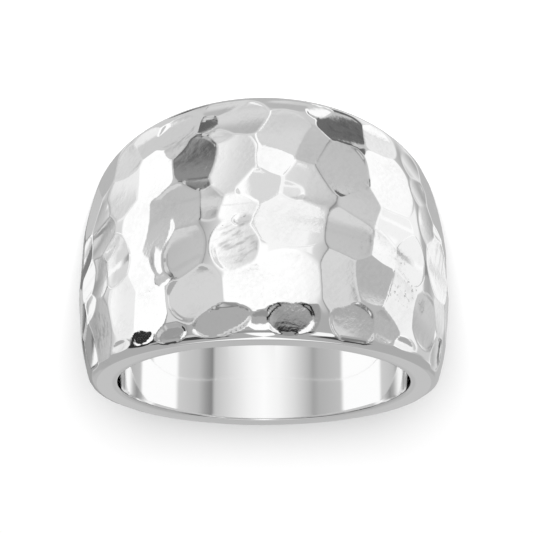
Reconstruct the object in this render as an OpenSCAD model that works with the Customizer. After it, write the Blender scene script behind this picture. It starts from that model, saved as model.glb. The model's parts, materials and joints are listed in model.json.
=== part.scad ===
// Cigar band ring: a wide tapered band with a domed and hammered outside, lying on its side.
// The finger hole leans forward by the taper's angle, so that one flat side face is on the ground.
// Turn is the angle round the band, 0 at the middle of the front and positive towards -X.
// Across runs along the finger hole, positive towards the upper side face.

/* [Finger hole] */
// Inside diameter of the band
bore_d = 17.3; // [15:0.1:21]

/* [Band] */
// Width of the band at the middle of the front
front_w = 16; // [13:0.5:18]
// Width of the band at the back
back_w = 7.2; // [6:0.2:12]
// Thickness of the wall at the two side faces
wall = 1.6; // [1.3:0.1:2.4]
// Height of the dome above the side faces at the front
front_rise = 1.1; // [0.6:0.1:1.6]
// Height of the dome above the side faces at the back
back_rise = 0.45; // [0.2:0.05:0.8]
// Fullness of the dome: 2 is a plain arch, and more is flatter on top
fullness = 2.35; // [2:0.05:3]
// Radius of the outer corners
corner_r = 0.4; // [0.2:0.05:0.5]

/* [Hammering] */
// Depth of the hammer marks, as a share of the charted depth
strike = 1; // [0:0.1:1.3]
// Distance between the marks round the back
pitch = 2.45; // [2:0.05:3.2]

/* [Hidden] */

edge_r = bore_d / 2 + wall;
mid_half_w = (front_w + back_w) / 4;
taper = (front_w - back_w) / 4;
lean = atan(taper / edge_r);
// Moves the middle of the outline over the origin
rest_y = 0.5;
cutter = 40;
fine = 96;

// Columns round the band, and rows across each half of it
columns = 160;
half_rows = 16;
// Rows on each corner, as shares of its radius, the last one past the side face
CORNER_STEPS = [0.62, 0.9, 1.4];
// How steeply the blank draws in past the side face
draw_in = 3;

// Girth for one degree of turn, at the middle of the dome
girth = 11 * PI / 180;

// Hammer marks that the front shows. Each is a shallow oval bowl, placed by eye: its place, its
// two sizes in mm, how far its wide axis leans towards the upper side face in degrees, its depth,
// how far its border sinks as a rim, and how far its floor tilts to face -X, in degrees.
TURN = 0;
ACROSS = 1;
WIDE = 2;
TALL = 3;
LEAN = 4;
DEPTH = 5;
RIM = 6;
TILT = 7;
CHART = [
    // Shoulder on the lower side
    [-60.5, -5.2, 2.8, 2.6, 0, 0.1, 0, 0], [-51.5, -5.2, 2.4, 2.7, -35, 0.12, 0, 6],
    [-41, -5.9, 3.4, 2.3, -8, 0.11, 0, 0], [-34.5, -6.1, 2, 1, -50, 0.12, 0, 0],
    [-28, -6, 3.5, 2.4, -10, 0.12, 0, 0], [-27, -4.7, 2.4, 1.5, -15, 0.08, 0, 0],
    [-18, -5.9, 1.6, 1.2, -25, 0.02, 0.05, 1.5], [-16.5, -7.05, 2.6, 1.1, -5, 0.06, 0, 4],
    [-7, -6.2, 3.3, 2.5, -10, 0.12, 0.03, 0], [6.5, -5.1, 3.3, 3.4, 20, 0.11, 0.02, 0],
    [9, -7.3, 3.2, 0.8, 0, 0.04, 0, 0], [18.5, -6.95, 1.8, 1.1, 0, 0.03, 0.02, 0],
    [26, -6, 3.5, 2.5, 0, 0.13, 0.02, 0], [41, -6, 2.9, 2.2, 5, 0.11, 0, -2.5],
    [55, -5.4, 2.3, 2, 10, 0.1, 0, 0], [67, -5.2, 3, 2.8, 0, 0.1, 0, 0],
    // Belt below the middle
    [-69, -3.6, 3.2, 3.4, 0, 0.12, 0, 0], [-59.5, -2.3, 2.4, 2.4, -30, 0.1, 0, 0],
    [-47.5, -3.1, 3.4, 3.8, 0, 0.13, 0, 0], [-36, -3.2, 3.2, 3.6, 0, 0.11, 0, 0],
    [-22, -3.6, 3.1, 3.4, -15, 0.13, 0.03, 2.5], [-20, -2, 1.6, 1.1, 15, 0.03, 0.06, 0],
    [-12.5, -4.9, 2, 1.6, 0, 0.09, 0, 0], [-9, -3, 2.9, 4.4, 5, 0.14, 0.03, -1.5],
    [3, -3.2, 2.4, 2.5, 0, 0.09, 0, 0], [-0.5, -1.4, 2.9, 2.3, 0, 0.06, 0.03, -2],
    [6.5, -1.1, 1.8, 1.4, 0, 0.04, 0.01, 6], [15.5, -4.2, 2.8, 3.2, 0, 0.11, 0, 0],
    [14.5, -1.7, 3.4, 3.4, 0, 0.11, 0, 0], [24.5, -3.1, 3.4, 3.8, 0, 0.15, 0.06, 0],
    [39.5, -3.4, 3.3, 3.6, 0, 0.11, 0, 0], [47.5, -3, 3.2, 3.6, 0, 0.11, 0, -5],
    [55.5, -3.8, 2.1, 2.1, 0, 0.11, 0, 2], [58.5, -1.8, 2.3, 2.9, 0, 0.11, 0, 3],
    [69, -3.6, 3.2, 3.2, 0, 0.11, 0, 0], [67.5, -2, 1.7, 1.4, 0, 0.08, 0, 0],
    // Middle
    [-82, -1.5, 3, 3.4, 0, 0.12, 0, 0], [-68, -0.8, 2.7, 2.2, -5, 0.11, 0, -5],
    [-54, -0.9, 2.6, 2.4, 0, 0.11, 0, -6], [-51, 0.4, 2.2, 1.7, 0, 0.1, 0, -3],
    [-40.5, -0.2, 2.4, 3.6, 0, 0.11, 0, 0], [-35.5, 0.6, 2.6, 4.2, 14, 0.08, 0.03, 6],
    [-25.5, -0.5, 3.3, 3.1, 0, 0.14, 0.04, -1.5], [-16.5, -0.6, 2, 2.6, 0, 0.09, 0, 1],
    [-9, 0, 2.6, 2.4, 0, 0.11, 0, 2], [8, 0.9, 5, 3.4, 0, 0.11, 0, 0],
    [24, 1.2, 3.4, 3.3, 0, 0.15, 0.01, 3], [30, -0.9, 3, 3.2, 0, 0.12, 0, 0],
    [43, -0.2, 3.4, 2.8, 0, 0.11, 0, 0], [53, 1.3, 2.5, 3, 0, 0.12, 0, -6],
    [68, 0.3, 3.5, 4.1, 0, 0.14, 0.04, 0], [84, -0.8, 3, 3, 0, 0.12, 0, 0],
    // Belt above the middle
    [-83, 1.9, 3, 3, 0, 0.12, 0, 0], [-77, 3, 2.3, 2.1, 0, 0.1, 0, 0], [-68, 1.2, 3.1, 2.2, -5, 0.12, 0, 1],
    [-66, 2.9, 2, 1.8, 0, 0.1, 0, -2.5], [-57.5, 1.6, 2.5, 3, 0, 0.11, 0, -4],
    [-46.5, 1.5, 2, 2.9, 0, 0.11, 0, -8], [-38.5, 3.2, 2.2, 2.6, 0, 0.09, 0, 0],
    [-30, 1.7, 1.7, 3.4, 18, 0.03, 0.05, -4], [-32.5, 3.6, 1.5, 1.1, 0, 0.03, 0.04, 2],
    [-22.5, 2.3, 2.9, 3.5, 20, 0.14, 0.03, -6], [-4.6, 0.72, 1.5, 0.75, -14, 0.03, 0.05, -9],
    [-7.2, 2.5, 2.8, 3.3, 0, 0.14, 0.02, -3], [21, 4.2, 2.7, 3.9, 0, 0.12, 0, 4],
    [34.5, 3.7, 3.9, 3.2, 0, 0.13, 0, 0], [38, 1.4, 2.4, 2.8, 0, 0.09, 0, 0],
    [46, 4.3, 3.1, 3.8, 0, 0.12, 0, 0], [60, 4.4, 3.6, 3.1, 0, 0.14, 0.05, 2],
    [73, 3.4, 2.8, 2.4, 0, 0.1, 0, -3], [84, 2.2, 3, 3, 0, 0.12, 0, 0],
    // Shoulder on the upper side
    [-72.5, 5, 2.9, 2.9, 0, 0.12, 0, 0], [-60, 4.7, 3, 4, 0, 0.13, 0, -4],
    [-48, 4.4, 2.8, 3.7, 0, 0.13, 0, 0], [-35.5, 5.1, 2.8, 3.1, 0, 0.11, 0, -3],
    [-20.5, 5.1, 3.5, 3.1, 0, 0.12, 0.04, -2], [-5, 5, 3, 3.2, 0, 0.12, 0, 0],
    [11, 4.6, 4, 3.4, 0, 0.12, 0, -2], [72, 5.2, 2.4, 2.3, 0, 0.11, 0, 3],
    // Small marks along the upper edge
    [-53, 6.5, 2, 0.7, 5, 0.05, 0, 0], [-41.5, 6.75, 1.5, 0.75, 0, 0, 0.04, 0],
    [-30.5, 7.1, 1.9, 1, 0, 0.02, 0.07, 0], [-13.2, 6.85, 3.5, 1.6, -8, 0.03, 0.09, 0],
    [-1, 7, 1.5, 0.9, 0, 0.03, 0.03, 0], [10.5, 6.6, 2.6, 2.3, -10, 0.05, 0.01, 0],
    [8.2, 6.8, 2.7, 1.9, -8, 0.01, 0.07, 0], [29.2, 6.55, 3, 2.3, 0, 0.05, 0.07, 0],
    [41, 6.1, 2.6, 2.1, 0, 0.11, 0, 0], [53, 6.5, 2.2, 0.7, -5, 0.05, 0, -2],
];

// A rim falls over this share of its mark's size
rim_share = 0.08;
// A mark reaches no farther round than this
mark_reach = 14;

// The marks carry on round the back in staggered columns, between these turns
back_from = 97;
back_to = 263;
back_size = 3.1;
back_depth = 0.12;
back_columns = round((back_to - back_from) * girth / pitch);
back_margin = 0.9;
// How unevenly the marks round the back are struck, each way: turn, across, lean, size, swell
// and depth
turn_wobble = 2;
across_wobble = 0.3;
lean_wobble = 40;
size_wobble = 0.35;
swell_wobble = 0.15;
depth_wobble = 0.02;
back_tallness = 1.1;

function half_w(turn) = mid_half_w + taper * cos(turn);

function rise(turn) = (front_rise + back_rise) / 2 + (front_rise - back_rise) / 2 * cos(turn);

// An uneven number from -1 to 1 that is the same each time
function wobble(n) = sin(137 * n + 41 * n * n);

function back_mark(turn, across, n) =
    let (size = back_size + size_wobble * wobble(n), swell = 1 + swell_wobble * wobble(n + 3))
    [turn + turn_wobble * wobble(n + 1), across + across_wobble * wobble(n + 2),
        size * swell, size / swell * back_tallness, lean_wobble * wobble(n + 5),
        back_depth + depth_wobble * wobble(n + 4), 0, 0];

function back_column(turn, k) =
    let (reach = half_w(turn) - back_margin, shift = k % 2 == 0 ? 0 : 0.5, most = ceil(reach / pitch))
    [for (j = [-most : most])
        let (across = (j + shift) * pitch)
        if (abs(across) < reach) back_mark(turn, across, 7 * k + j)];

BACK = [for (k = [0 : back_columns])
    each back_column(back_from + (back_to - back_from) * k / back_columns, k)];

MARKS = concat(CHART, BACK);

function turn_gap(a, b) = (a - b + 2 * 360 + 180) % 360 - 180;

// Depth of a mark below the smooth dome: its bowl, its tilted floor and its rim. It is negative
// outside the mark.
function bowl(mark, turn, across) =
    let (u = turn_gap(turn, mark[TURN]) * girth,
        v = across - mark[ACROSS],
        p = (u * cos(mark[LEAN]) + v * sin(mark[LEAN])) * 2 / mark[WIDE],
        q = (v * cos(mark[LEAN]) - u * sin(mark[LEAN])) * 2 / mark[TALL],
        reach = norm([p, q]))
    strike * (mark[DEPTH] * (1 - reach * reach) + tan(mark[TILT]) * u
        + mark[RIM] * min(1, (1 - reach) / rim_share + 1));

// How far a round corner has dropped where it is this far inside the side face
function corner_drop(gap) =
    gap >= corner_r ? 0 :
    gap > 0 ? corner_r - sqrt(corner_r * corner_r - pow(corner_r - gap, 2)) :
    corner_r - draw_in * gap;

function outside(turn, across, near) =
    edge_r
    + rise(turn) * (1 - pow(abs(across) / half_w(turn), fullness))
    - corner_drop(half_w(turn) - abs(across))
    - max([0, for (mark = near) bowl(mark, turn, across)]);

// Each row's share of the half width inside the corners, and its step outwards on a corner
ROWS = concat(
    [for (k = [2 : -1 : 0]) [-1, -CORNER_STEPS[k] * corner_r]],
    [for (j = [-half_rows : half_rows]) [j / half_rows, 0]],
    [for (k = [0 : 2]) [1, CORNER_STEPS[k] * corner_r]]
);

function column(turn) =
    let (near = [for (mark = MARKS) if (abs(turn_gap(turn, mark[TURN])) < mark_reach) mark])
    [for (row = ROWS)
        let (across = row[0] * (half_w(turn) - corner_r) + row[1], r = outside(turn, across, near))
        [-r * sin(turn), -r * cos(turn), across]];

// The hammered outside as one skin, closed by a cap past each side face
module blank() {
    n = len(ROWS);
    points = [for (c = [0 : columns - 1]) each column(c * 360 / columns)];
    skin = [for (c = [0 : columns - 1], j = [0 : n - 2])
        let (a = c * n + j, b = (c + 1) % columns * n + j)
        each [[a, b, a + 1], [b, b + 1, a + 1]]];
    lower_cap = [[for (c = [columns - 1 : -1 : 0]) c * n]];
    upper_cap = [[for (c = [0 : columns - 1]) c * n + n - 1]];
    polyhedron(points = points, faces = concat(skin, lower_cap, upper_cap), convexity = 4);
}

// Everything beyond one side face, the upper one for side 1 and the lower one for side -1
module beyond_side(side) {
    translate([0, 0, side * mid_half_w])
        rotate([-side * lean, 0, 0])
            translate([-cutter / 2, -cutter / 2, side > 0 ? 0 : -cutter])
                cube(cutter);
}

module finger_hole() {
    cylinder(d = bore_d, h = cutter, center = true, $fn = fine);
}

module ring() {
    color([0.82, 0.82, 0.81])
        translate([0, rest_y, mid_half_w * cos(lean)])
            rotate([-lean, 0, 0])
                difference() {
                    blank();
                    beyond_side(1);
                    beyond_side(-1);
                    finger_hole();
                }
}

ring();
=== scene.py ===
"""Hammered cigar band ring in polished silver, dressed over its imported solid.

The band is one closed surface made by Geometry Nodes: a domed skin pressed by charted hammer
marks, two flat side faces and a plain finger hole. It lies on its lower side face. Places on the
band are a turn round it, 0 at the middle of the front and positive towards -X, and a distance
across it, positive towards the upper side face.
"""

from __future__ import annotations

import json
import logging
import math
from dataclasses import dataclass, field
from enum import Enum
from typing import Any, Union

import bmesh
import bpy
from mathutils import Matrix, Vector


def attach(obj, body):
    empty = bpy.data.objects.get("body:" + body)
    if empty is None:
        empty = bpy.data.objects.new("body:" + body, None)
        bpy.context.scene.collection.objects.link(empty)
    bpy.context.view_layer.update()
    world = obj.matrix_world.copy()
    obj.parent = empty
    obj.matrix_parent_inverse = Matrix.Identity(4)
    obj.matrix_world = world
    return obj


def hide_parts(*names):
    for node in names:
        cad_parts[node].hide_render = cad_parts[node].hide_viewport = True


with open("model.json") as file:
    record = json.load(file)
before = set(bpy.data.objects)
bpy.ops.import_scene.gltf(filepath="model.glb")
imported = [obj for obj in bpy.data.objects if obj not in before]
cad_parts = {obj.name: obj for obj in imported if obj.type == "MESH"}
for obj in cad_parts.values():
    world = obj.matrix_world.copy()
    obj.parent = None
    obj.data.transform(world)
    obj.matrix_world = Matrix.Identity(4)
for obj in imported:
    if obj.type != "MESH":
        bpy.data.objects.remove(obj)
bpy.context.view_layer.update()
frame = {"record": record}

MM = 0.001
QUARTER_TURN = math.pi / 2
NODE = "ring"
log = logging.getLogger(NODE)

Value = Union[float, int, str, tuple, Vector, "Wire", bpy.types.NodeSocket, bpy.types.Material]


@dataclass(frozen=True)
class Wire:
    """A node's output that takes part in Python expressions."""

    graph: "Graph"
    socket: bpy.types.NodeSocket

    def maths(self, operation: str, *values: Value) -> "Wire":
        """A Math node whose first value is this one."""
        return self.graph.maths(operation, self, *values)

    def __add__(self, other: Value) -> "Wire":
        """This value plus another."""
        return self.maths("ADD", other)

    def __radd__(self, other: Value) -> "Wire":
        """Another value plus this one."""
        return self.maths("ADD", other)

    def __sub__(self, other: Value) -> "Wire":
        """This value less another."""
        return self.maths("SUBTRACT", other)

    def __rsub__(self, other: Value) -> "Wire":
        """Another value less this one."""
        return self.graph.maths("SUBTRACT", other, self)

    def __mul__(self, other: Value) -> "Wire":
        """This value times another."""
        return self.maths("MULTIPLY", other)

    def __rmul__(self, other: Value) -> "Wire":
        """Another value times this one."""
        return self.maths("MULTIPLY", other)

    def __truediv__(self, other: Value) -> "Wire":
        """This value over another."""
        return self.maths("DIVIDE", other)

    def __rtruediv__(self, other: Value) -> "Wire":
        """Another value over this one."""
        return self.graph.maths("DIVIDE", other, self)

    def __pow__(self, other: Value) -> "Wire":
        """This value to the power of another."""
        return self.maths("POWER", other)

    def __neg__(self) -> "Wire":
        """This value with the other sign."""
        return self.graph.maths("SUBTRACT", 0.0, self)


@dataclass(frozen=True)
class Graph:
    """Adds nodes to one node tree, for shapes and for shaders alike."""

    tree: bpy.types.NodeTree

    def node(self, kind: str, settings: dict[str, Any] | None = None,
             inputs: dict[str | int, Value] | None = None) -> bpy.types.Node:
        """Adds any node.

        Args:
            kind: The node's type.
            settings: Its properties, and a colour ramp's stops under "stops", set first.
            inputs: A value or a link for each input, by name or place.

        Returns:
            The new node.
        """
        node = self.tree.nodes.new(kind)
        for name, value in (settings or {}).items():
            if name == "stops":
                self._set_stops(node.color_ramp, value)
            else:
                setattr(node, name, value)
        for key, value in (inputs or {}).items():
            self.feed(node.inputs[key], value)
        return node

    @staticmethod
    def _set_stops(ramp: bpy.types.ColorRamp, stops: list[tuple[float, float]]) -> None:
        """Gives a colour ramp its stops, each a place and a grey."""
        while len(ramp.elements) < len(stops):
            ramp.elements.new(1.0)
        for element, (place, grey) in zip(ramp.elements, stops):
            element.position = place
            element.color = (grey, grey, grey, 1.0)

    def feed(self, socket: bpy.types.NodeSocket, value: Value) -> None:
        """Links a wire or a socket to an input, or sets a plain value on it."""
        if isinstance(value, Wire):
            self.tree.links.new(value.socket, socket)
        elif isinstance(value, bpy.types.NodeSocket):
            self.tree.links.new(value, socket)
        else:
            socket.default_value = value

    def wire(self, node: bpy.types.Node, output: str | int = 0) -> Wire:
        """One of a node's outputs, as a wire."""
        return Wire(self, node.outputs[output])

    def maths(self, operation: str, *values: Value) -> Wire:
        """A Math node's result."""
        node = self.node("ShaderNodeMath", {"operation": operation}, dict(enumerate(values)))
        return self.wire(node)

    def vector_maths(self, operation: str, *values: Value, output: str = "Vector") -> Wire:
        """A Vector Math node's result."""
        node = self.node("ShaderNodeVectorMath", {"operation": operation}, dict(enumerate(values)))
        return self.wire(node, output)

    def smooth_step(self, value: Value, low: float, high: float) -> Wire:
        """A smooth rise from 0 at low to 1 at high."""
        node = self.node("ShaderNodeMapRange", {"interpolation_type": "SMOOTHSTEP"},
                         {"Value": value, "From Min": low, "From Max": high})
        return self.wire(node, "Result")

    def combine(self, x: Value, y: Value, z: Value) -> Wire:
        """A vector from its three parts."""
        return self.wire(self.node("ShaderNodeCombineXYZ", inputs={"X": x, "Y": y, "Z": z}))

    def parts(self, vector: Value) -> tuple[Wire, Wire, Wire]:
        """A vector's three parts."""
        node = self.node("ShaderNodeSeparateXYZ", inputs={0: vector})
        return self.wire(node, 0), self.wire(node, 1), self.wire(node, 2)


@dataclass(frozen=True)
class BandShape:
    """The band's sizes in metres, and its finger hole's place and lean, which is in radians."""

    hole_r: float
    centre: Vector
    lean: float
    front_width: float = 16 * MM
    back_width: float = 7.2 * MM
    wall: float = 1.6 * MM
    front_rise: float = 1.1 * MM
    back_rise: float = 0.45 * MM
    fullness: float = 2.35
    corner: float = 0.4 * MM
    fillet: float = 0.12 * MM

    @classmethod
    def from_record(cls, record: dict[str, Any]) -> "BandShape":
        """Takes the finger hole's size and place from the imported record.

        Args:
            record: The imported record.

        Returns:
            The shape round that hole.
        """
        hole = next(m for m in record["mounts"] if m["name"] == "finger_hole")
        axis = Vector(hole["axis"])
        return cls(hole_r=hole["dims"]["r_mm"] * MM, centre=Vector(hole["pos_m"]),
                   lean=math.atan2(axis.y, axis.z))

    @property
    def edge_r(self) -> float:
        """Outer radius where the dome meets the side faces."""
        return self.hole_r + self.wall

    @property
    def mid_half_width(self) -> float:
        """Half the width at the sides, between front and back."""
        return (self.front_width + self.back_width) / 4

    @property
    def taper(self) -> float:
        """How much the half width gains from the sides to the front."""
        return (self.front_width - self.back_width) / 4

    @property
    def along(self) -> Vector:
        """Direction of the finger hole, towards the upper side face."""
        return Vector((0, math.sin(self.lean), math.cos(self.lean)))

    @property
    def front(self) -> Vector:
        """Direction of the middle of the front, square to the finger hole."""
        return Vector((0, -math.cos(self.lean), math.sin(self.lean)))

    def half_width(self, turn: float) -> float:
        """Half the width at a turn in degrees."""
        return self.mid_half_width + self.taper * math.cos(math.radians(turn))

    def rise(self, turn: float) -> float:
        """How far the dome rises above the side faces' edges at a turn in degrees."""
        mean, swing = (self.front_rise + self.back_rise) / 2, (self.front_rise - self.back_rise) / 2
        return mean + swing * math.cos(math.radians(turn))

    def spot(self, turn: float, across: float) -> Vector:
        """The point on the dome at a turn in degrees and a place across in metres."""
        angle = math.radians(turn)
        out = self.front * math.cos(angle) - Vector((math.sin(angle), 0, 0))
        share = min(1.0, abs(across) / self.half_width(turn))
        radius = self.edge_r + self.rise(turn) * (1 - share ** self.fullness)
        return self.centre + out * radius + self.along * across


@dataclass(frozen=True)
class Mark:
    """One hammer mark: a shallow oval bowl pressed into the dome.

    Its turn, lean and tilt are in degrees, and its place across, two sizes, depth and rim in mm.
    The lean turns its wide axis towards the upper side face. The rim is how far its border sinks,
    so that a mark with a rim cuts a whole oval out of the earlier marks round it. The tilt turns
    its floor to face more towards -X.
    """

    turn: float
    across: float
    wide: float
    tall: float
    lean: float
    depth: float
    rim: float = 0.0
    tilt: float = 0.0


@dataclass(frozen=True)
class Hammering:
    """All the hammer marks: those that the front shows, and a rule for the back.

    The rule sets columns of marks at a pitch, from one turn to another in degrees, and leaves a
    margin free at the side faces. Lengths are in mm. Each wobble says how far a mark strays from
    the even one in that respect, and goes by the mark's number. A column's numbers start
    column_step after those of the column before it.
    """

    shape: BandShape
    pitch: float = 2.45
    girth_r: float = 11.0
    back_from: float = 97
    back_to: float = 263
    back_margin: float = 0.9
    back_size: float = 3.1
    back_tallness: float = 1.1
    back_depth: float = 0.12
    turn_wobble: float = 2.0
    across_wobble: float = 0.3
    lean_wobble: float = 40.0
    size_wobble: float = 0.35
    swell_wobble: float = 0.15
    depth_wobble: float = 0.02
    column_step: int = 7

    # Degrees that a mark's number, and the square of it, add to the angle of its wobble
    WOBBLE = (137, 41)

    # turn, across, wide, tall, lean, depth, rim, tilt
    CHART = (
        # Shoulder on the lower side
        (-60.5, -5.2, 2.8, 2.6, 0, 0.1, 0, 0), (-51.5, -5.2, 2.4, 2.7, -35, 0.12, 0, 6),
        (-41, -5.9, 3.4, 2.3, -8, 0.11, 0, 0), (-34.5, -6.1, 2, 1, -50, 0.12, 0, 0),
        (-28, -6, 3.5, 2.4, -10, 0.12, 0, 0), (-27, -4.7, 2.4, 1.5, -15, 0.08, 0, 0),
        (-18, -5.9, 1.6, 1.2, -25, 0.02, 0.05, 1.5), (-16.5, -7.05, 2.6, 1.1, -5, 0.06, 0, 4),
        (-7, -6.2, 3.3, 2.5, -10, 0.12, 0.03, 0), (6.5, -5.1, 3.3, 3.4, 20, 0.11, 0.02, 0),
        (9, -7.3, 3.2, 0.8, 0, 0.04, 0, 0), (18.5, -6.95, 1.8, 1.1, 0, 0.03, 0.02, 0),
        (26, -6, 3.5, 2.5, 0, 0.13, 0.02, 0), (41, -6, 2.9, 2.2, 5, 0.11, 0, -2.5),
        (55, -5.4, 2.3, 2, 10, 0.1, 0, 0), (67, -5.2, 3, 2.8, 0, 0.1, 0, 0),
        # Belt below the middle
        (-69, -3.6, 3.2, 3.4, 0, 0.12, 0, 0), (-59.5, -2.3, 2.4, 2.4, -30, 0.1, 0, 0),
        (-47.5, -3.1, 3.4, 3.8, 0, 0.13, 0, 0), (-36, -3.2, 3.2, 3.6, 0, 0.11, 0, 0),
        (-22, -3.6, 3.1, 3.4, -15, 0.13, 0.03, 2.5), (-20, -2, 1.6, 1.1, 15, 0.03, 0.06, 0),
        (-12.5, -4.9, 2, 1.6, 0, 0.09, 0, 0), (-9, -3, 2.9, 4.4, 5, 0.14, 0.03, -1.5),
        (3, -3.2, 2.4, 2.5, 0, 0.09, 0, 0), (-0.5, -1.4, 2.9, 2.3, 0, 0.06, 0.03, -2),
        (6.5, -1.1, 1.8, 1.4, 0, 0.04, 0.01, 6), (15.5, -4.2, 2.8, 3.2, 0, 0.11, 0, 0),
        (14.5, -1.7, 3.4, 3.4, 0, 0.11, 0, 0), (24.5, -3.1, 3.4, 3.8, 0, 0.15, 0.06, 0),
        (39.5, -3.4, 3.3, 3.6, 0, 0.11, 0, 0), (47.5, -3, 3.2, 3.6, 0, 0.11, 0, -5),
        (55.5, -3.8, 2.1, 2.1, 0, 0.11, 0, 2), (58.5, -1.8, 2.3, 2.9, 0, 0.11, 0, 3),
        (69, -3.6, 3.2, 3.2, 0, 0.11, 0, 0), (67.5, -2, 1.7, 1.4, 0, 0.08, 0, 0),
        # Middle
        (-82, -1.5, 3, 3.4, 0, 0.12, 0, 0), (-68, -0.8, 2.7, 2.2, -5, 0.11, 0, -5),
        (-54, -0.9, 2.6, 2.4, 0, 0.11, 0, -6), (-51, 0.4, 2.2, 1.7, 0, 0.1, 0, -3),
        (-40.5, -0.2, 2.4, 3.6, 0, 0.11, 0, 0), (-35.5, 0.6, 2.6, 4.2, 14, 0.08, 0.03, 6),
        (-25.5, -0.5, 3.3, 3.1, 0, 0.14, 0.04, -1.5), (-16.5, -0.6, 2, 2.6, 0, 0.09, 0, 1),
        (-9, 0, 2.6, 2.4, 0, 0.11, 0, 2), (8, 0.9, 5, 3.4, 0, 0.11, 0, 0),
        (24, 1.2, 3.4, 3.3, 0, 0.15, 0.01, 3), (30, -0.9, 3, 3.2, 0, 0.12, 0, 0),
        (43, -0.2, 3.4, 2.8, 0, 0.11, 0, 0), (53, 1.3, 2.5, 3, 0, 0.12, 0, -6),
        (68, 0.3, 3.5, 4.1, 0, 0.14, 0.04, 0), (84, -0.8, 3, 3, 0, 0.12, 0, 0),
        # Belt above the middle
        (-83, 1.9, 3, 3, 0, 0.12, 0, 0), (-77, 3, 2.3, 2.1, 0, 0.1, 0, 0),
        (-68, 1.2, 3.1, 2.2, -5, 0.12, 0, 1), (-66, 2.9, 2, 1.8, 0, 0.1, 0, -2.5),
        (-57.5, 1.6, 2.5, 3, 0, 0.11, 0, -4), (-46.5, 1.5, 2, 2.9, 0, 0.11, 0, -8),
        (-38.5, 3.2, 2.2, 2.6, 0, 0.09, 0, 0), (-30, 1.7, 1.7, 3.4, 18, 0.03, 0.05, -4),
        (-32.5, 3.6, 1.5, 1.1, 0, 0.03, 0.04, 2), (-22.5, 2.3, 2.9, 3.5, 20, 0.14, 0.03, -6),
        (-4.6, 0.72, 1.5, 0.75, -14, 0.03, 0.05, -9), (-7.2, 2.5, 2.8, 3.3, 0, 0.14, 0.02, -3),
        (21, 4.2, 2.7, 3.9, 0, 0.12, 0, 4), (34.5, 3.7, 3.9, 3.2, 0, 0.13, 0, 0),
        (38, 1.4, 2.4, 2.8, 0, 0.09, 0, 0), (46, 4.3, 3.1, 3.8, 0, 0.12, 0, 0),
        (60, 4.4, 3.6, 3.1, 0, 0.14, 0.05, 2), (73, 3.4, 2.8, 2.4, 0, 0.1, 0, -3),
        (84, 2.2, 3, 3, 0, 0.12, 0, 0),
        # Shoulder on the upper side
        (-72.5, 5, 2.9, 2.9, 0, 0.12, 0, 0), (-60, 4.7, 3, 4, 0, 0.13, 0, -4),
        (-48, 4.4, 2.8, 3.7, 0, 0.13, 0, 0), (-35.5, 5.1, 2.8, 3.1, 0, 0.11, 0, -3),
        (-20.5, 5.1, 3.5, 3.1, 0, 0.12, 0.04, -2), (-5, 5, 3, 3.2, 0, 0.12, 0, 0),
        (11, 4.6, 4, 3.4, 0, 0.12, 0, -2), (72, 5.2, 2.4, 2.3, 0, 0.11, 0, 3),
        # Small marks along the upper edge
        (-53, 6.5, 2, 0.7, 5, 0.05, 0, 0), (-41.5, 6.75, 1.5, 0.75, 0, 0, 0.04, 0),
        (-30.5, 7.1, 1.9, 1, 0, 0.02, 0.07, 0), (-13.2, 6.85, 3.5, 1.6, -8, 0.03, 0.09, 0),
        (-1, 7, 1.5, 0.9, 0, 0.03, 0.03, 0), (10.5, 6.6, 2.6, 2.3, -10, 0.05, 0.01, 0),
        (8.2, 6.8, 2.7, 1.9, -8, 0.01, 0.07, 0), (29.2, 6.55, 3, 2.3, 0, 0.05, 0.07, 0),
        (41, 6.1, 2.6, 2.1, 0, 0.11, 0, 0), (53, 6.5, 2.2, 0.7, -5, 0.05, 0, -2),
    )

    def wobble(self, n: int) -> float:
        """An uneven number from -1 to 1 that is the same each time."""
        single, square = self.WOBBLE
        return math.sin(math.radians(single * n + square * n * n))

    def back_mark(self, turn: float, across: float, n: int) -> Mark:
        """One mark of the rule, uneven in its place, size, lean and depth."""
        size = self.back_size + self.size_wobble * self.wobble(n)
        swell = 1 + self.swell_wobble * self.wobble(n + 3)
        return Mark(
            turn=turn + self.turn_wobble * self.wobble(n + 1),
            across=across + self.across_wobble * self.wobble(n + 2),
            wide=size * swell,
            tall=size / swell * self.back_tallness,
            lean=self.lean_wobble * self.wobble(n + 5),
            depth=self.back_depth + self.depth_wobble * self.wobble(n + 4),
        )

    def back_column(self, turn: float, k: int) -> list[Mark]:
        """The marks of one staggered column, as many as its width takes.

        Args:
            turn: The column's turn in degrees.
            k: The column's number, which gives its stagger.

        Returns:
            Its marks, from the lower side to the upper.
        """
        reach = self.shape.half_width(turn) / MM - self.back_margin
        most = math.ceil(reach / self.pitch)
        shift = 0.5 if k % 2 else 0.0
        first = self.column_step * k
        places = [(first + j, (j + shift) * self.pitch) for j in range(-most, most + 1)]
        return [self.back_mark(turn, across, n) for n, across in places if abs(across) < reach]

    def marks(self) -> list[Mark]:
        """Every mark on the band."""
        span = self.back_to - self.back_from
        columns = round(math.radians(span) * self.girth_r / self.pitch)
        found = [Mark(*row) for row in self.CHART]
        for k in range(columns + 1):
            found += self.back_column(self.back_from + span * k / columns, k)
        return found

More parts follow.
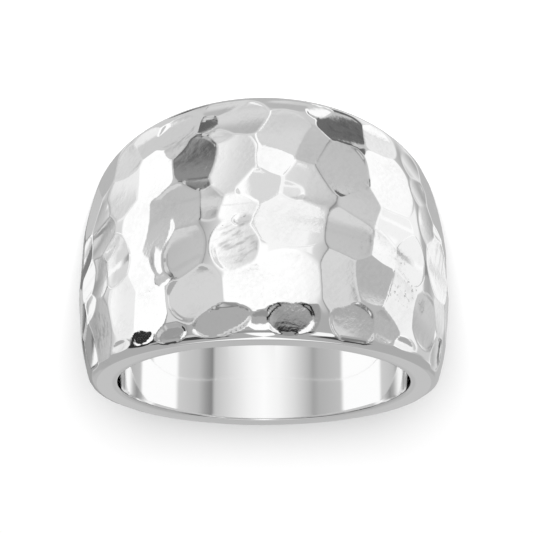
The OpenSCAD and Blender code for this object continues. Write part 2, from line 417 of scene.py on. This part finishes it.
    def points(self) -> bpy.types.Object:
        """A loose point for each mark, which the band's tree reads.

        Returns:
            A mesh object whose points hold turn, across and depth as their place, wide, tall and
            lean in the attribute "oval", and the rim and the floor's slope in "rim" and "slope".
        """
        marks = self.marks()
        mesh = bpy.data.meshes.new("hammer_marks")
        places = [(math.radians(m.turn), m.across * MM, m.depth * MM) for m in marks]
        mesh.from_pydata(places, [], [])
        oval = mesh.attributes.new("oval", "FLOAT_VECTOR", "POINT")
        for item, m in zip(oval.data, marks):
            item.vector = (m.wide * MM, m.tall * MM, math.radians(m.lean))
        single = {"rim": [m.rim * MM for m in marks],
                  "slope": [math.tan(math.radians(m.tilt)) for m in marks]}
        for name, values in single.items():
            for item, value in zip(mesh.attributes.new(name, "FLOAT", "POINT").data, values):
                item.value = value
        thing = bpy.data.objects.new("hammer_marks", mesh)
        bpy.context.scene.collection.objects.link(thing)
        return thing


class Side(Enum):
    """The two flat side faces, by their sign along the finger hole."""

    LOWER = -1.0
    UPPER = 1.0


@dataclass
class BandTree:
    """The Geometry Nodes tree of the band: flat sheets of turn and share, bent into the ring.

    A share runs over a sheet from -1 to 1, and the skin gives corner_share of it to each corner.
    Lengths are in metres.
    """

    shape: BandShape
    columns: int = 560
    skin_rows: int = 144
    side_rows: int = 8
    hole_rows: int = 10
    corner_share: float = 0.1
    front_density: float = 0.25
    strike: float = 1.0
    ridge: float = 0.015 * MM
    rim_share: float = 0.08
    girth_r: float = 11 * MM
    weld: float = 0.001 * MM
    tree: bpy.types.NodeTree = field(init=False)
    graph: Graph = field(init=False)
    inputs: dict[str, Wire] = field(init=False)
    edge_r: Wire = field(init=False)

    def build(self, silver: bpy.types.Material) -> bpy.types.NodeTree:
        """Builds the tree.

        Args:
            silver: The material that Set Material gives the band.

        Returns:
            The node group, whose inputs hold the band's sizes.
        """
        self.tree = bpy.data.node_groups.new("hammered_band", "GeometryNodeTree")
        self.graph = Graph(self.tree)
        self._declare()
        g = self.graph
        sheets = [self._skin(self.inputs["Marks"]), self._hole()]
        sheets += [self._side(side) for side in Side]
        join = g.node("GeometryNodeJoinGeometry")
        for sheet in sheets:
            g.feed(join.inputs[0], sheet)
        weld = g.node("GeometryNodeMergeByDistance",
                      inputs={"Geometry": join.outputs[0], "Distance": self.weld})
        lay = g.node("GeometryNodeTransform", inputs={
            "Geometry": weld.outputs[0], "Translation": self.inputs["Centre"],
            "Rotation": g.combine(-self.inputs["Lean"], 0.0, 0.0)})
        smooth = g.node("GeometryNodeSetShadeSmooth", inputs={"Geometry": lay.outputs[0]})
        whole = g.node("GeometryNodeRealizeInstances", inputs={"Geometry": smooth.outputs[0]})
        dress = g.node("GeometryNodeSetMaterial",
                       inputs={"Geometry": whole.outputs[0], "Material": silver})
        out = g.node("NodeGroupOutput")
        g.feed(out.inputs[0], dress.outputs[0])
        return self.tree

    def sizes(self) -> dict[str, float | Vector]:
        """The value of each named input."""
        s = self.shape
        return {
            "Hole radius": s.hole_r, "Wall": s.wall, "Middle half width": s.mid_half_width,
            "Taper": s.taper, "Front rise": s.front_rise, "Back rise": s.back_rise,
            "Fullness": s.fullness, "Corner radius": s.corner, "Fillet radius": s.fillet,
            "Strike": self.strike, "Ridge softness": self.ridge, "Lean": s.lean,
            "Centre": s.centre,
        }

    def _declare(self) -> None:
        """Gives the tree its named inputs and its output."""
        face = self.tree.interface
        face.new_socket("Marks", in_out="INPUT", socket_type="NodeSocketGeometry")
        for name, value in self.sizes().items():
            kind = "NodeSocketVector" if isinstance(value, Vector) else "NodeSocketFloat"
            face.new_socket(name, in_out="INPUT", socket_type=kind)
        face.new_socket("Band", in_out="OUTPUT", socket_type="NodeSocketGeometry")
        entry = self.graph.node("NodeGroupInput")
        self.inputs = {s.name: Wire(self.graph, s) for s in entry.outputs if s.name}
        self.edge_r = self.inputs["Hole radius"] + self.inputs["Wall"]

    def _sheet(self, rows: int) -> tuple[Wire, Wire, Wire]:
        """A flat sheet over the band's turns, with closer columns at the front.

        Args:
            rows: How many rows of faces it has.

        Returns:
            Its geometry, the turn in radians, and the share from -1 to 1.
        """
        g = self.graph
        grid = g.node("GeometryNodeMeshGrid", inputs={
            "Size X": math.tau, "Size Y": 2.0,
            "Vertices X": self.columns + 1, "Vertices Y": rows + 1})
        place, share, _ = g.parts(g.wire(g.node("GeometryNodeInputPosition")))
        turn = place - self.front_density * place.maths("SINE")
        return g.wire(grid), turn, share

    def _bend(self, sheet: Value, turn: Wire, radius: Value, across: Value) -> Wire:
        """Moves a sheet's points to their radius and their place across."""
        g = self.graph
        place = g.combine(-(turn.maths("SINE") * radius), -(turn.maths("COSINE") * radius), across)
        node = g.node("GeometryNodeSetPosition", inputs={"Geometry": sheet, "Position": place})
        return g.wire(node)

    def _half_width(self, turn: Wire, radius: Value) -> Wire:
        """Half the distance between the side faces, at a turn and a radius."""
        slope = self.inputs["Taper"] / self.edge_r
        return self.inputs["Middle half width"] + slope * radius * turn.maths("COSINE")

    def _skin(self, marks: Wire) -> Wire:
        """The hammered outside, from corner to corner."""
        g = self.graph
        corner = self.inputs["Corner radius"]
        sheet, turn, share = self._sheet(self.skin_rows)
        reach = share.maths("ABSOLUTE")
        flat_share = 1 - self.corner_share
        flat = (reach / flat_share).maths("MINIMUM", 1.0)
        bend = ((reach - flat_share) / self.corner_share).maths("MAXIMUM", 0.0) * QUARTER_TURN
        drop = corner * (1 - bend.maths("COSINE"))
        half = self._half_width(turn, self.edge_r)
        sign = share.maths("SIGN")
        out = flat * (half - corner) + corner * bend.maths("SINE")
        mean = (self.inputs["Front rise"] + self.inputs["Back rise"]) / 2
        swing = (self.inputs["Front rise"] - self.inputs["Back rise"]) / 2
        rise = mean + swing * turn.maths("COSINE")
        dome = self.edge_r + rise * (1 - (out / half) ** self.inputs["Fullness"]) - drop
        struck = self._strike_marks(sheet, marks, turn, sign * out)
        radius = dome - self._kept("dent") * bend.maths("COSINE") * self.inputs["Strike"]
        slope = self.inputs["Taper"] / self.edge_r * turn.maths("COSINE")
        return self._bend(struck, turn, radius, sign * (out - slope * drop))

    def _strike_marks(self, sheet: Wire, marks: Wire, turn: Wire, across: Wire) -> Wire:
        """Keeps the depth of the deepest bowl at each point in the attribute "dent".

        Args:
            sheet: The flat skin.
            marks: The points of the hammer marks.
            turn: The turn at each point of the skin.
            across: The place across at each point.

        Returns:
            The skin with its attribute.
        """
        g = self.graph
        ready = sheet
        for name, value in (("turn", turn), ("across", across), ("dent", 0.0)):
            ready = self._keep(ready, name, value)
        count = g.node("GeometryNodeAttributeDomainSize", inputs={"Geometry": marks})
        start = g.tree.nodes.new("GeometryNodeRepeatInput")
        end = g.tree.nodes.new("GeometryNodeRepeatOutput")
        start.pair_with_output(end)
        g.feed(start.inputs["Iterations"], count.outputs["Point Count"])
        g.feed(start.inputs["Geometry"], ready)
        place = g.wire(g.node("GeometryNodeInputPosition"))
        oval = self._kept("oval", "FLOAT_VECTOR")
        turned, placed, depth = g.parts(self._of_mark(marks, start, place, "FLOAT_VECTOR"))
        wide, tall, lean = g.parts(self._of_mark(marks, start, oval, "FLOAT_VECTOR"))
        rim, slope = (self._of_mark(marks, start, self._kept(name)) for name in ("rim", "slope"))
        gap = (self._kept("turn") - turned).maths("WRAP", math.pi, -math.pi) * self.girth_r
        off = self._kept("across") - placed
        cosine, sine = lean.maths("COSINE"), lean.maths("SINE")
        p = (gap * cosine + off * sine) * 2 / wide
        q = (off * cosine - gap * sine) * 2 / tall
        reach = p * p + q * q
        edge = ((1 - reach ** 0.5) / self.rim_share + 1).maths("MINIMUM", 1.0)
        bowl = depth * (1 - reach) + slope * gap + rim * edge
        deepest = self._kept("dent").maths("SMOOTH_MAX", bowl, self.inputs["Ridge softness"])
        g.feed(end.inputs["Geometry"], self._keep(g.wire(start, "Geometry"), "dent", deepest))
        return g.wire(end, "Geometry")

    def _of_mark(self, marks: Wire, start: bpy.types.Node, value: Wire,
                 kind: str = "FLOAT") -> Wire:
        """A value of the mark that this pass of the loop is at."""
        node = self.graph.node("GeometryNodeSampleIndex", {"data_type": kind}, {
            "Geometry": marks, "Value": value, "Index": start.outputs["Iteration"]})
        return self.graph.wire(node)

    def _keep(self, sheet: Value, name: str, value: Value) -> Wire:
        """Stores a value at each point of a sheet."""
        settings = {"data_type": "FLOAT", "domain": "POINT"}
        node = self.graph.node("GeometryNodeStoreNamedAttribute", settings,
                               {"Geometry": sheet, "Name": name, "Value": value})
        return self.graph.wire(node)

    def _kept(self, name: str, kind: str = "FLOAT") -> Wire:
        """A value that was stored at each point."""
        node = self.graph.node("GeometryNodeInputNamedAttribute", {"data_type": kind},
                               {"Name": name})
        return self.graph.wire(node)

    def _side(self, side: Side) -> Wire:
        """A flat side face with the small round that leads into the finger hole."""
        hole, fillet = self.inputs["Hole radius"], self.inputs["Fillet radius"]
        sheet, turn, share = self._sheet(self.side_rows)
        bend = (-share).maths("MAXIMUM", 0.0) * QUARTER_TURN
        flat = share.maths("MAXIMUM", 0.0)
        radius = (hole + fillet * (1 - bend.maths("SINE"))
                  + flat * (self.edge_r - self.inputs["Corner radius"] - hole - fillet))
        out = self._half_width(turn, radius) - fillet * (1 - bend.maths("COSINE"))
        return self._bend(sheet, turn, radius, out * side.value)

    def _hole(self) -> Wire:
        """The plain wall of the finger hole, with closer rows near its two ends."""
        hole = self.inputs["Hole radius"]
        sheet, turn, share = self._sheet(self.hole_rows)
        half = self._half_width(turn, hole) - self.inputs["Fillet radius"]
        return self._bend(sheet, turn, hole, half * (share * QUARTER_TURN).maths("SINE"))


@dataclass(frozen=True)
class ScuffAndReflection:
    """A scuffed spot in the polish, whose dark streaks or specks are painted reflection in the
    colour.

    Its turn and the lean of its streaks are in degrees, its place across and its reach in mm. The
    streaks and the specks say how much each darkens the base colour as painted reflection.
    """

    turn: float
    across: float
    reach: float
    streaks: float
    specks: float
    lean: float = 63.0


@dataclass(frozen=True)
class PolishedSilver:
    """Sterling silver with a bright polish, a trace of the hammer's grain, and scuffed spots with
    painted reflection: dark streaks and specks in the base colour.

    The struck parts of the band, whose dent is deeper than struck_from, have the full grain in
    patches and grain_least of it between them. Each scale is that of a noise, and each range is
    the part of a noise over which it rises from nothing to full. A scuff's painted reflection is at
    its full strength out to scuff_and_reflection_core of its reach.
    """

    shape: BandShape
    bright: float = 0.935
    dull: float = 0.885
    roughness: float = 0.05
    grain_roughness: float = 0.03
    detail: float = 3.0
    grain_scale: float = 4500.0
    grain_range: tuple[float, float] = (0.8, 1.2)
    grain_depth: float = 0.0035 * MM
    grain_least: float = 0.2
    streak_length: float = 4.0
    streak_lean: float = 35.0
    patch_scale: float = 420.0
    patch_range: tuple[float, float] = (0.42, 0.62)
    struck_from: float = 0.03 * MM
    scuff_and_reflection_core: float = 0.6
    scuff_and_reflection_border_scale: float = 1260.0
    scuff_and_reflection_length: float = 7.0
    scuff_and_reflection_scale: float = 3600.0
    scuff_and_reflection_range: tuple[float, float] = (0.42, 0.7)
    reflection_speck_scale: float = 5200.0
    reflection_speck_range: tuple[float, float] = (0.56, 0.72)

    # Scuffs with painted reflection: turn, across, reach, streaks, specks, lean
    SCUFFS_AND_REFLECTIONS = (
        (-8, 2.3, 1.5, 0.34, 0.05, 63), (48.5, 3.4, 1.1, 0.06, 0.5, 80),
        (43, 3.9, 0.7, 0, 0.4, 80), (44, 1.7, 0.9, 0.12, 0.3, 120), (33.7, 1.2, 1.5, 0, 0.12, 60),
        (57, 3.7, 0.6, 0.2, 0.5, 20), (-22.5, -4.6, 1.7, 0.25, 0.12, 60),
        (-63, 4.6, 1.4, 0.3, 0.1, 15), (72, -0.6, 1.4, 0.3, 0.1, 10), (-1, 5.6, 2.2, 0, 0.07, 60),
        (8, 1.5, 2.2, 0, 0.05, 60), (27, -6.2, 1.7, 0.2, 0.1, 110),
    )

    def build(self) -> bpy.types.Material:
        """The finish as a material."""
        material = bpy.data.materials.new("polished_silver")
        material.use_nodes = True
        material.node_tree.nodes.clear()
        g = Graph(material.node_tree)
        place = g.wire(g.node("ShaderNodeTexCoord"), "Object")
        streaks = self._noise(g, self._stretched(g, place, self.streak_lean, self.streak_length),
                              self.grain_scale)
        grain = self._noise(g, place, self.grain_scale) + streaks
        dent = g.wire(g.node("ShaderNodeAttribute", {"attribute_name": "dent"}), "Fac")
        struck = g.smooth_step(dent, 0.0, self.struck_from)
        patches = g.smooth_step(self._noise(g, place, self.patch_scale), *self.patch_range)
        rough = struck * (self.grain_least + (1 - self.grain_least) * patches)
        bump = g.node("ShaderNodeBump", inputs={
            "Strength": 1.0, "Distance": self.grain_depth, "Height": grain * rough})
        dulled = rough * g.smooth_step(grain, *self.grain_range)
        tone = self.bright - (self.bright - self.dull) * dulled
        # Painted reflection: each scuff darkens the base colour in streaks and specks, standing in
        # for the darker surroundings that its scratches reflect.
        for row in self.SCUFFS_AND_REFLECTIONS:
            tone = tone * (1 - self._painted_reflection(g, place, ScuffAndReflection(*row)))
        shader = g.node("ShaderNodeBsdfPrincipled", inputs={
            "Base Color": g.combine(tone, tone, tone), "Metallic": 1.0,
            "Roughness": self.roughness + self.grain_roughness * rough,
            "Normal": bump.outputs[0]})
        out = g.node("ShaderNodeOutputMaterial")
        g.feed(out.inputs["Surface"], shader.outputs[0])
        return material

    def _painted_reflection(self, g: Graph, place: Wire, scuff_and_reflection: ScuffAndReflection) -> Wire:
        """How much one scuff's painted reflection darkens the base colour.

        Args:
            g: The material's graph.
            place: The Object coordinates.
            scuff_and_reflection: The scuffed spot, with its painted reflection.

        Returns:
            Its share from 0, outside it, to the sum of its streaks and specks.
        """
        centre = self.shape.spot(scuff_and_reflection.turn, scuff_and_reflection.across * MM)
        reach = scuff_and_reflection.reach * MM
        ragged = reach * (self._noise(g, place, self.scuff_and_reflection_border_scale) - 0.5)
        distance = g.vector_maths("DISTANCE", place, centre, output="Value") + ragged
        inside = 1 - g.smooth_step(distance, self.scuff_and_reflection_core * reach, reach)
        stretched = self._stretched(g, place, scuff_and_reflection.lean, self.scuff_and_reflection_length)
        streaks = g.smooth_step(self._noise(g, stretched, self.scuff_and_reflection_scale), *self.scuff_and_reflection_range)
        specks = g.smooth_step(self._noise(g, place, self.reflection_speck_scale), *self.reflection_speck_range)
        # Painted reflection: dark streaks and specks painted into the colour inside the spot.
        return inside * (scuff_and_reflection.streaks * streaks + scuff_and_reflection.specks * specks)

    @staticmethod
    def _stretched(g: Graph, place: Wire, lean: float, length: float) -> Wire:
        """The place drawn out along a direction that leans by so many degrees from upright."""
        node = g.node("ShaderNodeMapping", {"vector_type": "TEXTURE"}, {
            "Vector": place, "Rotation": (0.0, math.radians(lean), 0.0),
            "Scale": (1.0, 1.0, length)})
        return g.wire(node)

    def _noise(self, g: Graph, place: Wire, scale: float) -> Wire:
        """Fine noise from 0 to 1."""
        node = g.node("ShaderNodeTexNoise", inputs={
            "Vector": place, "Scale": scale, "Detail": self.detail})
        return g.wire(node, "Fac")


@dataclass
class HammeredBand:
    """The ring itself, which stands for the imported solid."""

    shape: BandShape
    hammering: Hammering
    silver: PolishedSilver

    def build(self) -> bpy.types.Object:
        """Makes the band as a plain closed mesh in its material.

        Returns:
            The finished piece, riding on the part's body.
        """
        marks = self.hammering.points()
        tree = BandTree(self.shape)
        modifier = marks.modifiers.new("band", "NODES")
        modifier.node_group = tree.build(self.silver.build())
        sizes = tree.sizes()
        for socket in modifier.node_group.interface.items_tree:
            if socket.in_out == "INPUT" and socket.name in sizes:
                modifier[socket.identifier] = sizes[socket.name]
        bpy.context.view_layer.update()
        evaluated = marks.evaluated_get(bpy.context.evaluated_depsgraph_get())
        mesh = bpy.data.meshes.new_from_object(evaluated)
        marks.modifiers.remove(modifier)
        bpy.data.objects.remove(marks)
        self._face_outwards(mesh)
        mesh.name = "hammered_band"
        piece = bpy.data.objects.new("hammered_band", mesh)
        bpy.context.scene.collection.objects.link(piece)
        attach(piece, "root")
        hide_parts(NODE)
        log.info("%s: %d points, %d faces", piece.name, len(mesh.vertices), len(mesh.polygons))
        return piece

    @staticmethod
    def _face_outwards(mesh: bpy.types.Mesh) -> None:
        """Turns every face of the closed surface outwards."""
        work = bmesh.new()
        work.from_mesh(mesh)
        bmesh.ops.recalc_face_normals(work, faces=work.faces)
        work.to_mesh(mesh)
        work.free()


@dataclass(frozen=True)
class Card:
    """A card or gap of the light tent, as the ring sees it.

    Its turns are in degrees round the finger hole, positive towards -X, and its heights are the
    part of the direction that runs along the hole, from -1 to 1.
    """

    turn_from: float
    turn_to: float
    low: float
    high: float
    tone: float
    soft_turn: float = 2.0
    soft_height: float = 0.02


@dataclass(frozen=True)
class LightTent:
    """The white tent that the silver reflects, and the plain pale room round it.

    Its wall is a ring of white sheets and grey gaps, each stop a turn in degrees and a tone. The
    narrow belt that only the finger hole reflects has stops of its own, and the cards hang in
    front of the wall. Tones are linear, and white is the highest of them. The camera sees the tone
    room, and the floor is lit by the tone ambient.

    The background counts as one step of a ray's depth, so depth_twice is the depth of light that
    has met the ring twice, and the next depth is that of light that has met it three times. Such
    light comes from the finger hole. It is lifted by the share of lift_twice above 1 for each
    meeting after the first, which makes up for what that meeting takes.
    """

    shape: BandShape
    white: float = 1.08
    room: float = 0.985
    ambient: float = 0.42
    belt: tuple[float, float] = (-0.459, -0.433)
    belt_soft: float = 0.004
    depth_twice: float = 3.0
    lift_twice: float = 1.07

    # turn, tone
    WALL = (
        (-150, 0.46), (-142, 0.82), (-136, 0.78), (-131, 0.58), (-126, 0.54), (-123, 0.38),
        (-120, 0.56), (-109, 0.64), (-106, 0.90), (-96, 0.90), (-88, 1.08), (-68, 1.08),
        (-65, 0.60), (-45, 0.48), (-41, 0.34), (-38, 0.48), (-24, 0.76), (-14, 1.08), (18, 1.08),
        (27, 0.78), (40, 0.52), (42, 0.24), (46, 0.42), (52, 0.54), (70, 0.66), (74, 0.98),
        (92, 1.08), (103, 0.98), (106, 0.62), (122, 0.42), (138, 0.85), (150, 0.50),
    )
    BELT = (
        (-146, 0.60), (-141, 0.98), (-134, 0.92), (-125, 0.42), (-118, 0.28), (-112, 0.55),
        (-106, 1.05), (-67, 1.05), (-64, 0.55), (-45, 0.46), (-40, 0.38), (-37, 0.48),
        (-24, 0.76), (-12, 0.96), (0, 1.05), (12, 0.96), (28, 0.72), (40, 0.56), (42, 0.24),
        (47, 0.34), (54, 0.54), (72, 0.64), (75, 1.05), (99, 1.05), (103, 0.60), (112, 0.48),
        (116, 0.24), (121, 0.30), (127, 0.50), (134, 1.00), (140, 1.00), (145, 0.60),
    )
    # turn_from, turn_to, low, high, tone, soft_turn, soft_height
    CARDS = (
        Card(-180, 180, -1, -0.7, 0.64, 1, 0.01),
        Card(-36, 24, -0.84, -0.75, 0.72, 6, 0.03),
        Card(-180, 180, -1, -0.87, 0.5, 1, 0.03),
        Card(92, 122, -1, -0.7, 0.88, 3),
        Card(-50.5, -40, -0.8, -0.57, 0.28, 1),
        Card(-50.5, -44.8, -0.68, -0.55, 0.155, 1, 0.05),
        Card(-50.5, -41, -0.82, -0.75, 0.13, 1, 0.01),
        Card(24, 44, -0.78, -0.64, 0.56, 4, 0.03),
        Card(61, 80, -0.88, -0.66, 0.15, 1),
        Card(50, 60, -0.92, -0.78, 1.05),
        Card(-66, -30, -0.28, 0, 0.7, 2, 0.04),
        Card(44, 59, -0.36, 0, 0.72, 3, 0.04),
        Card(61, 78, -0.38, 0, 0.5, 2, 0.04),
        Card(-180, -141, -0.5, -0.1, 0.36, 2, 0.03),
        Card(-180, 180, -0.04, 1, 0.43, 1),
        Card(-66, -50, -0.03, 0.14, 0.34),
        Card(-20, 22, 0.16, 0.5, 0.31, 4),
        Card(-60, -28, 0.18, 0.58, 0.62, 4, 0.03),
        Card(-67.5, -64.5, -0.35, 0, 0.3, 1, 0.03),
        Card(34, 53, 0.12, 0.62, 1, 2, 0.03),
        Card(55, 72, 0.12, 0.6, 0.22, 3, 0.03),
        Card(8, 30, -0.03, 0.1, 0.34),
        Card(8, 30, 0.05, 0.16, 0.02, 2, 0.008),
        Card(-34, -18, 0.2, 0.42, 0.24, 2, 0.03),
        Card(-98, -40, 0.52, 0.9, 0.06, 3, 0.03),
        Card(50, 98, 0.6, 0.86, 0.06, 3, 0.03),
        Card(-100, -76, -0.11, 0.3, 0.03, 2, 0.015),
        Card(-14, 14, 0.52, 1, 1.05, 2, 0.03),
        Card(166, 180, 0.55, 1, 1.05, 3, 0.1),
        Card(-180, -166, 0.55, 1, 1.05, 3, 0.1),
        Card(-120, -98, -0.52, -0.36, 0.72, 3, 0.03),
        Card(-148.5, -129, -0.51, -0.345, 1, 1, 0.01),
        Card(-165, -148.5, -0.525, -0.4, 0.22, 1, 0.01),
        Card(-152, -134, -0.335, -0.2, 0.36, 2, 0.01),
        Card(-144.2, -142.6, -0.335, -0.28, 0.1, 0.5, 0.01),
        Card(-160, -154.5, -0.46, -0.39, 0.14, 1, 0.01),
        Card(138.5, 141.2, -0.33, -0.2, 0.05, 0.8, 0.01),
        Card(134, 152, -0.525, -0.445, 1, 2, 0.01),
        Card(141.8, 143.2, -0.49, -0.445, 0.66, 0.6, 0.01),
        Card(137.5, 138.6, -0.49, -0.445, 0.66, 0.6, 0.01),
        Card(112, 132, -0.33, -0.15, 0.62, 3, 0.05),
        Card(160, 180, -0.1, 0.16, 0.5, 4),
        Card(-180, -160, -0.1, 0.16, 0.5, 4),
        Card(174, 178.4, -0.1, 0.16, 0.56, 0.8),
        Card(-160, -150, -0.56, -0.52, 0.57, 1, 0.01),
        Card(-150, -138, -0.66, -0.56, 0.5),
        Card(-40, -28, -0.58, -0.48, 0.7),
        Card(-9, 2.5, -0.72, -0.37, 0.74, 1),
        Card(0, 11.3, -0.8, -0.58, 1.05, 1, 0.01),
        Card(11.5, 24, -0.72, -0.64, 0.72, 1, 0.01),
        Card(-30, -13, -0.72, -0.69, 0.74, 1, 0.01),
        Card(2.5, 24, -0.58, -0.32, 0.985, 1, 0.01),
        Card(23, 29, -0.49, -0.32, 0.985, 1, 0.01),
        Card(84, 115, -0.56, -0.15, 0.95),
        Card(-112, -82, -0.95, -0.84, 0.03, 2, 0.01),
        Card(-124, -106, -0.72, -0.6, 0.72),
        Card(-32, -25, -0.4, -0.345, 0.42, 0.7, 0.01),
        Card(72, 90, -0.25, -0.02, 0.5, 3),
        Card(82, 88, -0.3, -0.255, 0.5, 1, 0.005),
        Card(-178.4, -174, -0.1, 0.16, 0.56, 0.8),
    )

    def build(self) -> bpy.types.World:
        """Sets the scene's world.

        Returns:
            The world.
        """
        world = bpy.data.worlds.new("light_tent")
        bpy.context.scene.world = world
        world.use_nodes = True
        world.node_tree.nodes.clear()
        g = Graph(world.node_tree)
        way = g.node("ShaderNodeTexCoord").outputs["Generated"]
        right = g.vector_maths("DOT_PRODUCT", way, (-1, 0, 0), output="Value")
        along = g.vector_maths("DOT_PRODUCT", way, tuple(self.shape.along), output="Value")
        front = g.vector_maths("DOT_PRODUCT", way, tuple(self.shape.front), output="Value")
        rays = g.node("ShaderNodeLightPath")
        depth = g.wire(rays, "Ray Depth")
        twice, thrice = (depth.maths("COMPARE", self.depth_twice + more, 0.5) for more in (0, 1))
        turn = self._straightened(right.maths("ARCTAN2", front).maths("DEGREES"), twice, thrice)
        tone = self._stops(g, turn, self.WALL)
        for card in self.CARDS:
            tone = tone + self._mask(g, card, turn, along) * (card.tone - tone)
        low, high = self.belt
        belt = Card(-180, 180, low, high, 0, soft_height=self.belt_soft)
        inside = self._mask(g, belt, turn, along).maths("MAXIMUM", twice + thrice)
        tone = tone + inside * (self._stops(g, turn, self.BELT) - tone)
        tone = tone * (1 + (twice + 2 * thrice) * (self.lift_twice - 1))
        seen = g.wire(rays, "Is Camera Ray")
        glossy = g.wire(rays, "Is Glossy Ray")
        level = self.ambient + glossy * (tone - self.ambient) + seen * (self.room - self.ambient)
        light = g.node("ShaderNodeBackground", inputs={"Color": g.combine(level, level, level)})
        out = g.node("ShaderNodeOutputWorld")
        g.feed(out.inputs["Surface"], light.outputs[0])
        return world

    @staticmethod
    def _straightened(turn: Wire, twice: Wire, thrice: Wire) -> Wire:
        """Keeps the tent's upright bands straight across the finger hole.

        Args:
            turn: The direction's turn in degrees.
            twice: 1 for light that has met the hole twice.
            thrice: 1 for light that has met it three times, which it does near the hole's ends.

        Returns:
            The turn, and for light that has met the hole more than once, the turn after once.
        """
        side, size = turn.maths("SIGN"), turn.maths("ABSOLUTE")
        after_two = -(side * (180 - size) / 2)
        after_three = side * (360 + size) / 3
        return turn + twice * (after_two - turn) + thrice * (after_three - turn)

    def _stops(self, g: Graph, turn: Wire, stops: tuple[tuple[float, float], ...]) -> Wire:
        """The tone of a wall at a turn."""
        placed = [((stop + 180) / 360, tone / self.white) for stop, tone in stops]
        ramp = g.node("ShaderNodeValToRGB", {"stops": placed}, {"Fac": (turn + 180) / 360})
        return g.wire(ramp, "Color").maths("MULTIPLY", self.white)

    @staticmethod
    def _mask(g: Graph, card: Card, turn: Wire, along: Wire) -> Wire:
        """1 where a direction meets the card, with soft borders."""
        mask: Value = 1.0
        for value, low, high, soft, least, most in (
            (turn, card.turn_from, card.turn_to, card.soft_turn, -180, 180),
            (along, card.low, card.high, card.soft_height, -1, 1),
        ):
            if low > least:
                mask = g.smooth_step(value, low - soft, low + soft) * mask
            if high < most:
                mask = (1 - g.smooth_step(value, high - soft, high + soft)) * mask
        return mask


@dataclass(frozen=True)
class Studio:
    """The pale floor, the soft key light and the camera.

    Angles are in degrees, the picture's size and the names that end in px are in pixels, and the
    sensor's width is in mm.
    """

    shape: BandShape
    picture: int = 533
    sensor: float = 36.0
    distance: float = 220 * MM
    view_angle: float = 62.2
    focal_px: float = 3672.0
    centre_px: tuple[float, float] = (263.9, 297.6)
    clip: tuple[float, float] = (0.01, 10.0)
    floor_half: float = 1.5
    floor_tone: float = 0.96
    key_distance: float = 300 * MM
    key_height: float = 37.0
    key_size: float = 125 * MM
    key_power: float = 1.28

    def floor(self) -> bpy.types.Object:
        """The floor, which the silver doesn't reflect because the tent lights it all round."""
        mesh = bpy.data.meshes.new("floor")
        h = self.floor_half
        mesh.from_pydata([(-h, -h, 0), (h, -h, 0), (h, h, 0), (-h, h, 0)], [], [(0, 1, 2, 3)])
        material = bpy.data.materials.new("pale_floor")
        material.use_nodes = True
        shader = material.node_tree.nodes["Principled BSDF"]
        shader.inputs["Base Color"].default_value = (self.floor_tone,) * 3 + (1,)
        shader.inputs["Roughness"].default_value = 1.0
        shader.inputs["Specular IOR Level"].default_value = 0.0
        mesh.materials.append(material)
        floor = bpy.data.objects.new("floor", mesh)
        bpy.context.scene.collection.objects.link(floor)
        floor.visible_glossy = False
        return floor

    def key_light(self) -> bpy.types.Object:
        """A round soft light over the front, for the shadow behind the ring."""
        lamp = bpy.data.lights.new("key", "AREA")
        lamp.shape = "DISK"
        lamp.size = self.key_size
        lamp.energy = self.key_power
        key = bpy.data.objects.new("key", lamp)
        height = math.radians(self.key_height)
        key.location = Vector((0, -math.cos(height), math.sin(height))) * self.key_distance
        key.rotation_euler = (-key.location).to_track_quat("-Z", "Y").to_euler()
        key.visible_glossy = False
        key.visible_camera = False
        bpy.context.scene.collection.objects.link(key)
        return key

    def camera(self) -> bpy.types.Object:
        """The camera at the photograph's angle to the ring, upside down as the ring lies here."""
        s = self.shape
        angle = math.radians(self.view_angle)
        back = s.along * math.cos(angle) + s.front * math.sin(angle)
        up = s.front * math.cos(angle) - s.along * math.sin(angle)
        right = up.cross(back)
        eye = s.centre + back * self.distance
        scale = self.distance / self.focal_px
        dx = (self.picture / 2 - self.centre_px[0]) * scale
        dy = (self.centre_px[1] - self.picture / 2) * scale
        look = (s.centre + right * dx + up * dy - eye).normalized()
        side = look.cross(up).normalized()
        top = side.cross(look)
        data = bpy.data.cameras.new("camera")
        data.sensor_width = self.sensor
        data.lens = self.focal_px * self.sensor / self.picture
        data.clip_start, data.clip_end = self.clip
        camera = bpy.data.objects.new("camera", data)
        turn = Matrix((side, top, -look)).transposed()
        camera.matrix_world = Matrix.Translation(eye) @ turn.to_4x4()
        bpy.context.scene.collection.objects.link(camera)
        bpy.context.scene.camera = camera
        return camera

    def colours(self) -> None:
        """Plain colour handling, so that white stays white."""
        bpy.context.scene.view_settings.view_transform = "Standard"


def main() -> None:
    """Builds the ring and its studio, in order."""
    logging.basicConfig(level=logging.INFO, format="%(name)s: %(message)s")
    shape = BandShape.from_record(frame["record"])
    studio = Studio(shape)
    studio.camera()
    HammeredBand(shape, Hammering(shape), PolishedSilver(shape)).build()
    LightTent(shape).build()
    studio.floor()
    studio.key_light()
    studio.colours()


if __name__ == "__main__":
    main()
